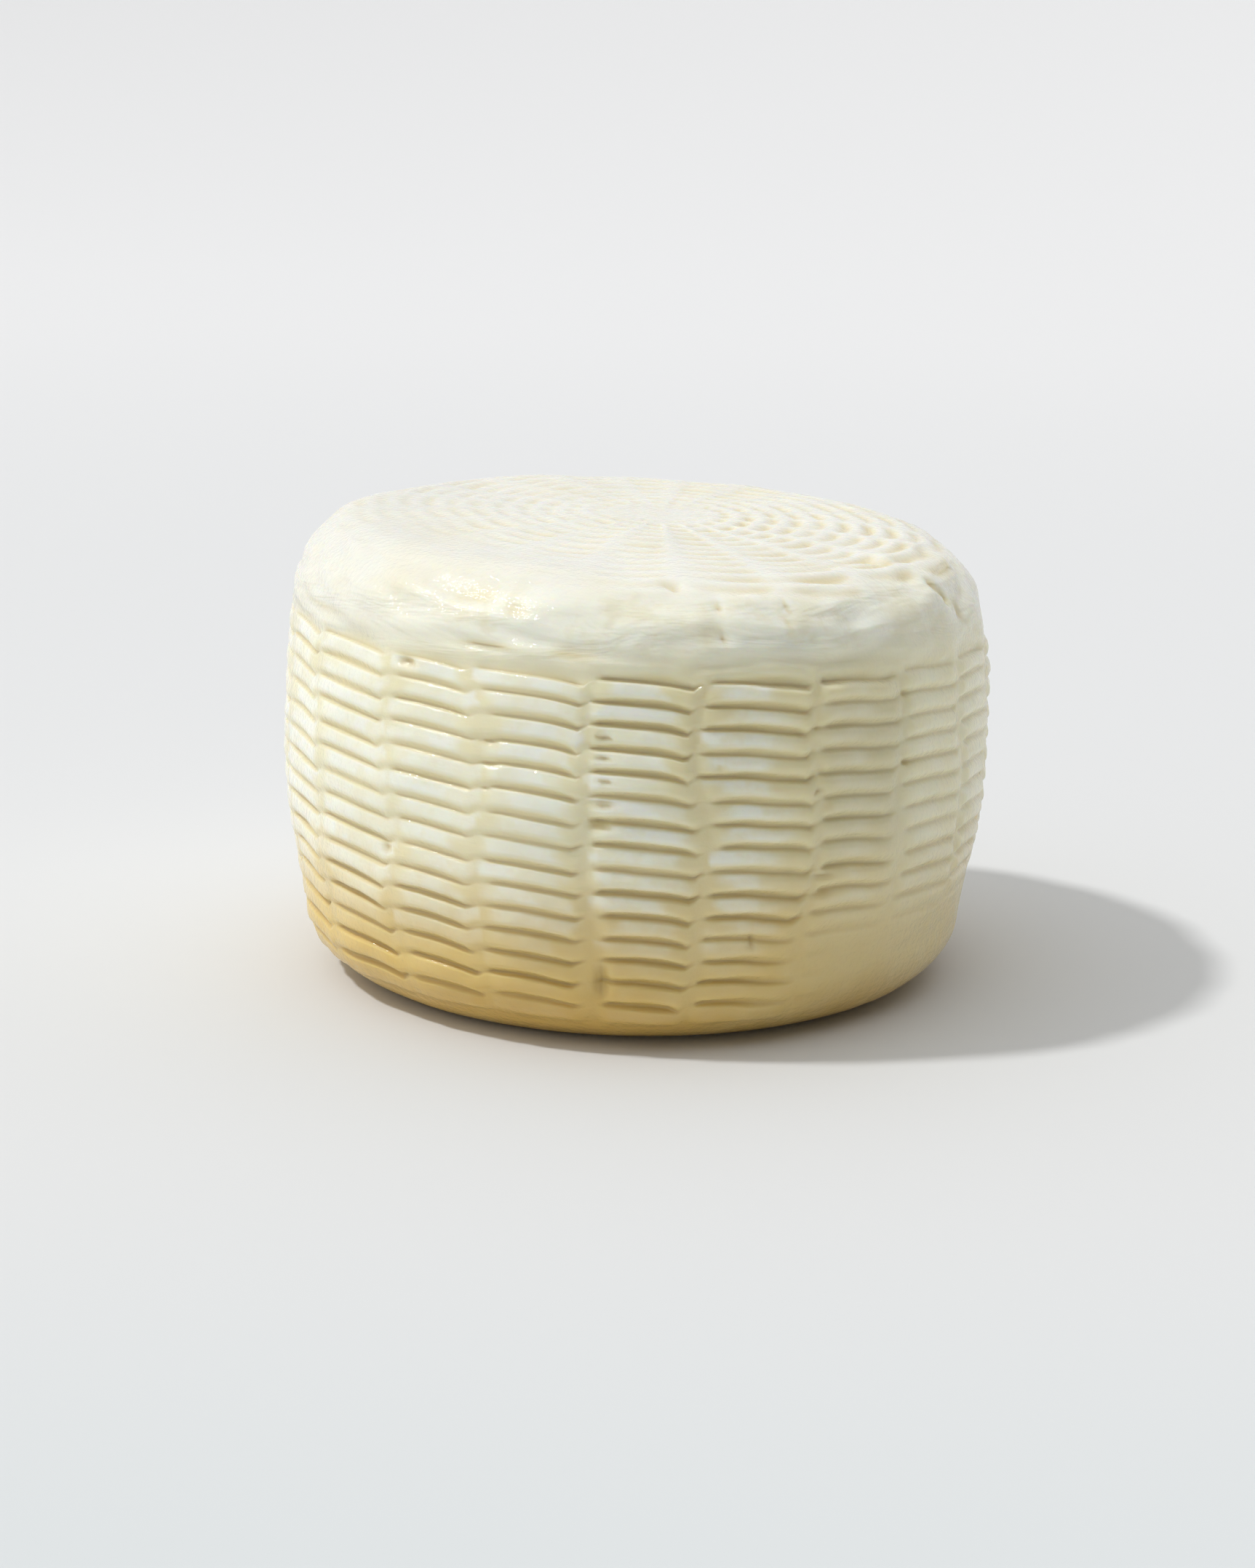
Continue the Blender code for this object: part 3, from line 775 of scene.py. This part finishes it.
# Grooves, pits and dimples: partly yellower curd, partly painted shade in the hollows
GROOVE_TONE_AND_SHADE = (0.79, 0.67, 0.34, 1.0)
# Tan foot: partly the wetter, yellower curd, partly painted warm bounce light from below
FOOT_TONE_AND_BOUNCE = (0.735, 0.52, 0.15, 1.0)
# At the foot the grooves' painted shade also takes the foot's painted bounce light
FOOT_GROOVE_TONE_AND_SHADE = (0.60, 0.405, 0.11, 1.0)
# Heel: partly the cheese's tan base, partly painted warm bounce light and shade near the ground
HEEL_TONE_AND_BOUNCE = (0.61, 0.375, 0.08, 1.0)
# Paler rim: partly the top's pale tone, partly painted light on the up-turned shoulder
RIM_TONE_AND_LIGHT = (0.935, 0.92, 0.785, 1.0)
TOP = (0.875, 0.865, 0.77, 1.0)

# Where the tints lie, by height, place across and depth, and their shares
RIM_HEIGHTS = (64 * MM, 73 * MM)
TOP_HEIGHTS = (76.5 * MM, 80.5 * MM)
FRONT_DEPTHS = (20 * MM, -20 * MM)
# Foot and heel: partly the cheese's tan, partly painted bounce light
FOOT_UNEVEN = 12 * MM
FOOT_HEIGHTS = (48 * MM, 14 * MM)
FOOT_ACROSS = (18 * MM, 40 * MM)
FOOT_SHARES = (0.97, 0.60)
HEEL_HEIGHTS = (20 * MM, 6 * MM)
HEEL_SHARE = 0.8
# Painted shade on the left rim
LEFT_RIM_SHADE_ACROSS = (-25 * MM, -50 * MM)
LEFT_RIM_SHADE_SHARE = 0.6
# Painted shade strip at the front right
PAINTED_SHADE_START = (28 * MM, 36 * MM)
PAINTED_SHADE_END = (50 * MM, 43 * MM)
PAINTED_SHADE_TOP = (66 * MM, 56 * MM)
PAINTED_SHADE_FOOT = (28 * MM, 40 * MM)
PAINTED_SHADE_SHARE = 0.55
# Partly the buttery bare curd, partly painted shade at the front right, beyond the key's reach
BUTTERY_SHADE_START = (-2 * MM, 12 * MM)
BUTTERY_SHADE_END = (48 * MM, 38 * MM)
BUTTERY_SHADE_TOP = (72 * MM, 60 * MM)
BUTTERY_SHADE_SHARE = 0.6
STAIN_SHARE = 0.38
STAIN_TOP_SHARE = 0.25
STAIN_SPOTS = (0.47, 0.62)
PATCH_RANGE = (0.45, 0.75)
PATCH_SHARE = 0.22
GROOVE_SHARE = 0.72
PAD_SHARE_ON_FOOT = 0.35

# What the noises do to the pads and the gloss: noise from and to, then share or roughness from and to
PAD_MOTTLE = (0.2, 0.6, 0.75, 1.0)
PAD_CLOUDS = (0.36, 0.56, 0.6, 1.0)
GLOSS_MOTTLE = (0.3, 0.7, 0.50, 0.66)

# Noises: scale, detail, roughness and, for the creases, distortion
PATCHES = (45.0, 3.0, 0.55)
BLOTS = (95.0, 3.0, 0.6)
CLOUDS = (170.0, 3.0, 0.55)
MOTTLE = (260.0, 4.0, 0.6)
SPOTS = (300.0, 3.0, 0.6)
BEADS = (1000.0, 2.0, 0.6)
GRAIN = (1500.0, 3.0, 0.6)
STREAKS = (420.0, 3.0, 0.55)
CREASES = (230.0, 3.0, 0.6, 0.6)
BLOT_WEIGHT = 0.6
SPOT_WEIGHT = 0.4
LYING = (0.22, 0.22, 1.0)

# Bumps from the bottom up: strength and height
BODY_BUMPS = {
    "grain": (0.35, 0.12 * MM),
    "streaks": (0.4, 0.3 * MM),
    "creases": (0.9, 1.2 * MM),
    "mottle": (0.35, 0.25 * MM),
}
COAT_BUMPS = {
    "streaks": (0.6, 0.7 * MM),
    "creases": (0.6, 0.7 * MM),
    "beads": (0.6, 0.5 * MM),
}


def body_colour(n, place, parts, rimness, topness, patches):
    """The buttery body with its stained rim and tan foot, and the foot's share. The rim is partly
    painted light, the foot partly painted bounce light, and the left rim and front right hold painted
    shade.
    """
    across = parts["X"]
    height = parts["Z"]
    front = n.ramp(parts["Y"], *FRONT_DEPTHS)
    blots = n.product(n.noise(place, *BLOTS), BLOT_WEIGHT)
    spots = n.math("ADD", blots, n.product(n.noise(place, *SPOTS), SPOT_WEIGHT))
    stained = n.product(rimness, n.ramp(topness, 0.0, 1.0, 1.0, STAIN_TOP_SHARE))
    stained = n.product(stained, n.ramp(spots, *STAIN_SPOTS, 0.0, STAIN_SHARE))
    # Painted shade: the left rim darkened
    left_rim_shade = n.product(rimness, n.ramp(across, *LEFT_RIM_SHADE_ACROSS, 0.0, LEFT_RIM_SHADE_SHARE))
    # Partly buttery curd, partly painted shade at the front right
    buttery_shade = n.product(n.ramp(across, *BUTTERY_SHADE_START), n.ramp(across, *BUTTERY_SHADE_END), front)
    buttery_shade = n.product(buttery_shade, n.ramp(height, *BUTTERY_SHADE_TOP), BUTTERY_SHADE_SHARE)
    # Painted shade: a darker strip at the front right
    painted_shade_strip = n.product(n.ramp(across, *PAINTED_SHADE_START), n.ramp(across, *PAINTED_SHADE_END), front)
    painted_shade_strip = n.product(painted_shade_strip, n.ramp(height, *PAINTED_SHADE_TOP), n.ramp(height, *PAINTED_SHADE_FOOT), PAINTED_SHADE_SHARE)
    # Foot and heel: partly the cheese's tan, partly painted warm bounce light from below
    uneven_height = n.math("ADD", height, n.product(patches, FOOT_UNEVEN))
    foot_and_bounce = n.ramp(uneven_height, *FOOT_HEIGHTS)
    foot_and_bounce = n.product(foot_and_bounce, n.ramp(across, *FOOT_ACROSS, *FOOT_SHARES))
    heel_and_bounce = n.product(n.ramp(uneven_height, *HEEL_HEIGHTS), HEEL_SHARE)
    # The rim's colour is partly painted light
    body = n.mix(topness, n.mix(rimness, CREAM, RIM_TONE_AND_LIGHT), TOP)
    layers = (
        (stained, STAIN),
        (left_rim_shade, LEFT_RIM_SHADE),
        (buttery_shade, BUTTER),
        (painted_shade_strip, PAINTED_SHADE_STRIP),
        (foot_and_bounce, FOOT_TONE_AND_BOUNCE),
        (heel_and_bounce, HEEL_TONE_AND_BOUNCE),
    )
    for share, colour in layers:
        body = n.mix(share, body, colour)
    return body, foot_and_bounce


def cheese_material():
    """Moist rindless cheese: white pads, partly painted light, in a buttery body that lets light in,
    with painted light and shade in its colour.
    """
    n = Nodes("fresh cheese")
    place = n.add("ShaderNodeTexCoord").outputs["Object"]
    split = n.add("ShaderNodeSeparateXYZ")
    n.put(place, split.inputs["Vector"])
    rimness = n.ramp(split.outputs["Z"], *RIM_HEIGHTS)
    topness = n.ramp(split.outputs["Z"], *TOP_HEIGHTS)
    patches = n.noise(place, *PATCHES)
    mottle = n.noise(place, *MOTTLE)

    body, foot_and_bounce = body_colour(n, place, split.outputs, rimness, topness, patches)
    # Pads: partly whiter curd, partly painted light on the lit faces of the bands
    whiteness_and_light = n.product(n.attribute("pad"), n.ramp(mottle, *PAD_MOTTLE))
    whiteness_and_light = n.product(whiteness_and_light, n.ramp(n.noise(place, *CLOUDS), *PAD_CLOUDS))
    whiteness_and_light = n.product(whiteness_and_light, n.ramp(foot_and_bounce, 0.0, 1.0, 1.0, PAD_SHARE_ON_FOOT))
    body = n.mix(whiteness_and_light, body, WHITE_AND_PAINTED_LIGHT)
    body = n.mix(n.product(n.ramp(patches, *PATCH_RANGE), PATCH_SHARE), body, BUTTER)
    # Grooves, pits and dimples: partly yellower curd, partly painted shade
    groove = n.mix(foot_and_bounce, GROOVE_TONE_AND_SHADE, FOOT_GROOVE_TONE_AND_SHADE)
    colour = n.mix(n.product(n.attribute("groove"), GROOVE_SHARE), body, groove)
    n.put(colour, n.shader.inputs["Base Color"])

    n.shader.subsurface_method = "RANDOM_WALK"
    n.shader.inputs["Subsurface Weight"].default_value = 0.65
    n.shader.inputs["Subsurface Radius"].default_value = (1.0, 0.75, 0.4)
    n.shader.inputs["Subsurface Scale"].default_value = 0.0025
    n.put(n.ramp(mottle, *GLOSS_MOTTLE), n.shader.inputs["Roughness"])
    n.shader.inputs["IOR"].default_value = 1.42
    n.shader.inputs["Coat Weight"].default_value = 0.65
    n.shader.inputs["Coat Roughness"].default_value = 0.08

    flatten = n.add("ShaderNodeVectorMath", operation="MULTIPLY")
    n.put(place, flatten.inputs[0])
    flatten.inputs[1].default_value = LYING
    flat = flatten.outputs["Vector"]
    heights = {
        "grain": n.noise(place, *GRAIN),
        "streaks": n.noise(flat, *STREAKS),
        "creases": n.product(n.noise(flat, *CREASES), n.math("SUBTRACT", rimness, topness)),
        "mottle": mottle,
        "beads": n.noise(place, *BEADS),
    }
    for socket, bumps in (("Normal", BODY_BUMPS), ("Coat Normal", COAT_BUMPS)):
        normal = None
        for name, (strength, size) in bumps.items():
            normal = n.bump(heights[name], strength, size, normal)
        n.put(normal, n.shader.inputs[socket])
    return n.material


def make_cheese():
    """The dressed cheese, standing for the solid."""
    mesh = cheese_mesh()
    low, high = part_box(NODE)
    centre_in(mesh, low, high)
    mesh.materials.append(cheese_material())
    cheese = bpy.data.objects.new("caciotta", mesh)
    bpy.context.scene.collection.objects.link(cheese)
    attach(cheese, "root")
    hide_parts(NODE)
    return cheese


FLOOR_FLAT = 2.0
FLOOR_RADIUS = 6.0
FLOOR_RISE = 0.06
FLOOR_GAP = 0.0001
FLOOR_COLUMNS = 96
FLOOR_RINGS = (0.5, 1.0, 1.5)
FLOOR_RISING_RINGS = 24
# Painted light on the far, rising floor and painted shade, darker and cooler, on the near floor
FAR_RANGE = (0.3, 1.5)
NEAR_RANGE = (-0.10, -0.30)
FAR_FLOOR_PAINTED_LIGHT = (0.775, 0.775, 0.775, 1.0)
FLOOR_COLOUR = (0.735, 0.74, 0.74, 1.0)
NEAR_FLOOR_PAINTED_SHADE = (0.665, 0.70, 0.705, 1.0)


def make_floor():
    """A wide pale disc that rises gently far away, so that no horizon shows."""
    columns = FLOOR_COLUMNS
    radii = np.concatenate([FLOOR_RINGS, np.linspace(FLOOR_FLAT, FLOOR_RADIUS, FLOOR_RISING_RINGS)])
    points = [(0.0, 0.0, -FLOOR_GAP)]
    for radius in radii:
        rise = FLOOR_RISE * max(0.0, radius - FLOOR_FLAT) ** 2 - FLOOR_GAP
        for c in range(columns):
            turn = 2 * math.pi * c / columns
            points.append((radius * math.cos(turn), radius * math.sin(turn), rise))
    faces = [(0, 1 + c, 1 + (c + 1) % columns) for c in range(columns)]
    for r in range(len(radii) - 1):
        for c in range(columns):
            d = (c + 1) % columns
            inner = 1 + r * columns
            outer = inner + columns
            faces.append((inner + c, outer + c, outer + d, inner + d))
    mesh = bpy.data.meshes.new("floor")
    mesh.from_pydata(points, [], faces)
    mesh.shade_smooth()
    n = Nodes("pale paper")
    split = n.add("ShaderNodeSeparateXYZ")
    n.put(n.add("ShaderNodeTexCoord").outputs["Object"], split.inputs["Vector"])
    away = split.outputs["Y"]
    # Painted light far away, painted shade near
    colour = n.mix(n.ramp(away, *FAR_RANGE), FLOOR_COLOUR, FAR_FLOOR_PAINTED_LIGHT)
    n.put(n.mix(n.ramp(away, *NEAR_RANGE), colour, NEAR_FLOOR_PAINTED_SHADE), n.shader.inputs["Base Color"])
    n.shader.inputs["Roughness"].default_value = 0.9
    n.shader.inputs["Specular IOR Level"].default_value = 0.1
    mesh.materials.append(n.material)
    floor = bpy.data.objects.new("floor", mesh)
    bpy.context.scene.collection.objects.link(floor)


KEY_ELEVATION = math.radians(55)
KEY_FORWARD = math.radians(7)
KEY_STRENGTH = 1.57
KEY_SPREAD = math.radians(4.5)
FILL = (0.93, 0.935, 0.945, 1.0)
UPWARD = Vector((0.0, 0.0, 1.0))
FILL_RANGE = (0.0, 0.8)
FILL_LEVELS = (0.57, 0.965)
DIM_SIDE = Vector((0.64, -0.77, -0.20))
DIM_RANGE = (0.24, 0.53)
DIM_LEVEL = 0.0


def make_lights():
    """A crisp key from the upper left, and an even fill."""
    key = bpy.data.lights.new("key", "SUN")
    key.energy = KEY_STRENGTH
    key.angle = KEY_SPREAD
    lamp = bpy.data.objects.new("key", key)
    bpy.context.scene.collection.objects.link(lamp)
    flat = math.cos(KEY_ELEVATION)
    rise = math.sin(KEY_ELEVATION)
    towards = Vector((-flat * math.cos(KEY_FORWARD), -flat * math.sin(KEY_FORWARD), rise))
    lamp.location = towards
    lamp.rotation_euler = towards.to_track_quat("Z", "Y").to_euler()
    world = bpy.data.worlds.new("fill")
    bpy.context.scene.world = world
    world.use_nodes = True
    background = world.node_tree.nodes["Background"]
    background.inputs["Color"].default_value = FILL
    place = world.node_tree.nodes.new("ShaderNodeTexCoord").outputs["Generated"]

    def level(way, low, high, low_out, high_out):
        """A strength that goes from one level to another with how far the sky lies that way."""
        dot = world.node_tree.nodes.new("ShaderNodeVectorMath")
        dot.operation = "DOT_PRODUCT"
        dot.inputs[1].default_value = way
        scale = world.node_tree.nodes.new("ShaderNodeMapRange")
        scale.inputs["From Min"].default_value = low
        scale.inputs["From Max"].default_value = high
        scale.inputs["To Min"].default_value = low_out
        scale.inputs["To Max"].default_value = high_out
        world.node_tree.links.new(place, dot.inputs[0])
        world.node_tree.links.new(dot.outputs["Value"], scale.inputs["Value"])
        return scale.outputs["Result"]

    product = world.node_tree.nodes.new("ShaderNodeMath")
    product.operation = "MULTIPLY"
    dimmed = level(DIM_SIDE.normalized(), *DIM_RANGE, 1.0, DIM_LEVEL)
    world.node_tree.links.new(dimmed, product.inputs[0])
    world.node_tree.links.new(level(UPWARD, *FILL_RANGE, *FILL_LEVELS), product.inputs[1])
    world.node_tree.links.new(product.outputs["Value"], background.inputs["Strength"])


CAMERA_PLACE = Vector((0.0, -0.5142, 0.1592))
CAMERA_PITCH = 0.2409
CAMERA_YAW = -0.0028
CAMERA_ROLL = 0.0202
FOCAL_PIXELS = 3867.0
PHOTO_HEIGHT = 2156
FILM_HEIGHT = 36.0
CLIP_START = 0.01
CLIP_END = 50.0


def make_camera():
    """The photograph's view."""
    forward = Vector((
        math.sin(CAMERA_YAW) * math.cos(CAMERA_PITCH),
        math.cos(CAMERA_YAW) * math.cos(CAMERA_PITCH),
        -math.sin(CAMERA_PITCH),
    ))
    level = Vector((math.cos(CAMERA_YAW), -math.sin(CAMERA_YAW), 0.0))
    upright = level.cross(forward)
    right = level * math.cos(CAMERA_ROLL) + upright * math.sin(CAMERA_ROLL)
    up = upright * math.cos(CAMERA_ROLL) - level * math.sin(CAMERA_ROLL)
    data = bpy.data.cameras.new("camera")
    data.sensor_fit = "VERTICAL"
    data.sensor_height = FILM_HEIGHT
    data.lens = FOCAL_PIXELS / PHOTO_HEIGHT * FILM_HEIGHT
    data.clip_start = CLIP_START
    data.clip_end = CLIP_END
    camera = bpy.data.objects.new("camera", data)
    bpy.context.scene.collection.objects.link(camera)
    turn = Matrix((right, up, -forward)).transposed()
    camera.matrix_world = Matrix.Translation(CAMERA_PLACE) @ turn.to_4x4()
    bpy.context.scene.camera = camera


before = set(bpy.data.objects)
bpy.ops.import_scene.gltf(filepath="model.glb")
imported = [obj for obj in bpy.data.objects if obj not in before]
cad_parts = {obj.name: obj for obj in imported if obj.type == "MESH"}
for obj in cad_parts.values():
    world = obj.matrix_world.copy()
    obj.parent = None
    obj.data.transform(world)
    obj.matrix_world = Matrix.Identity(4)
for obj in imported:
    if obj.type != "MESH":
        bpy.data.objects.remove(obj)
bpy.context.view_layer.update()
make_camera()
make_lights()
make_floor()
make_cheese()
bpy.context.scene.view_settings.view_transform = "Standard"
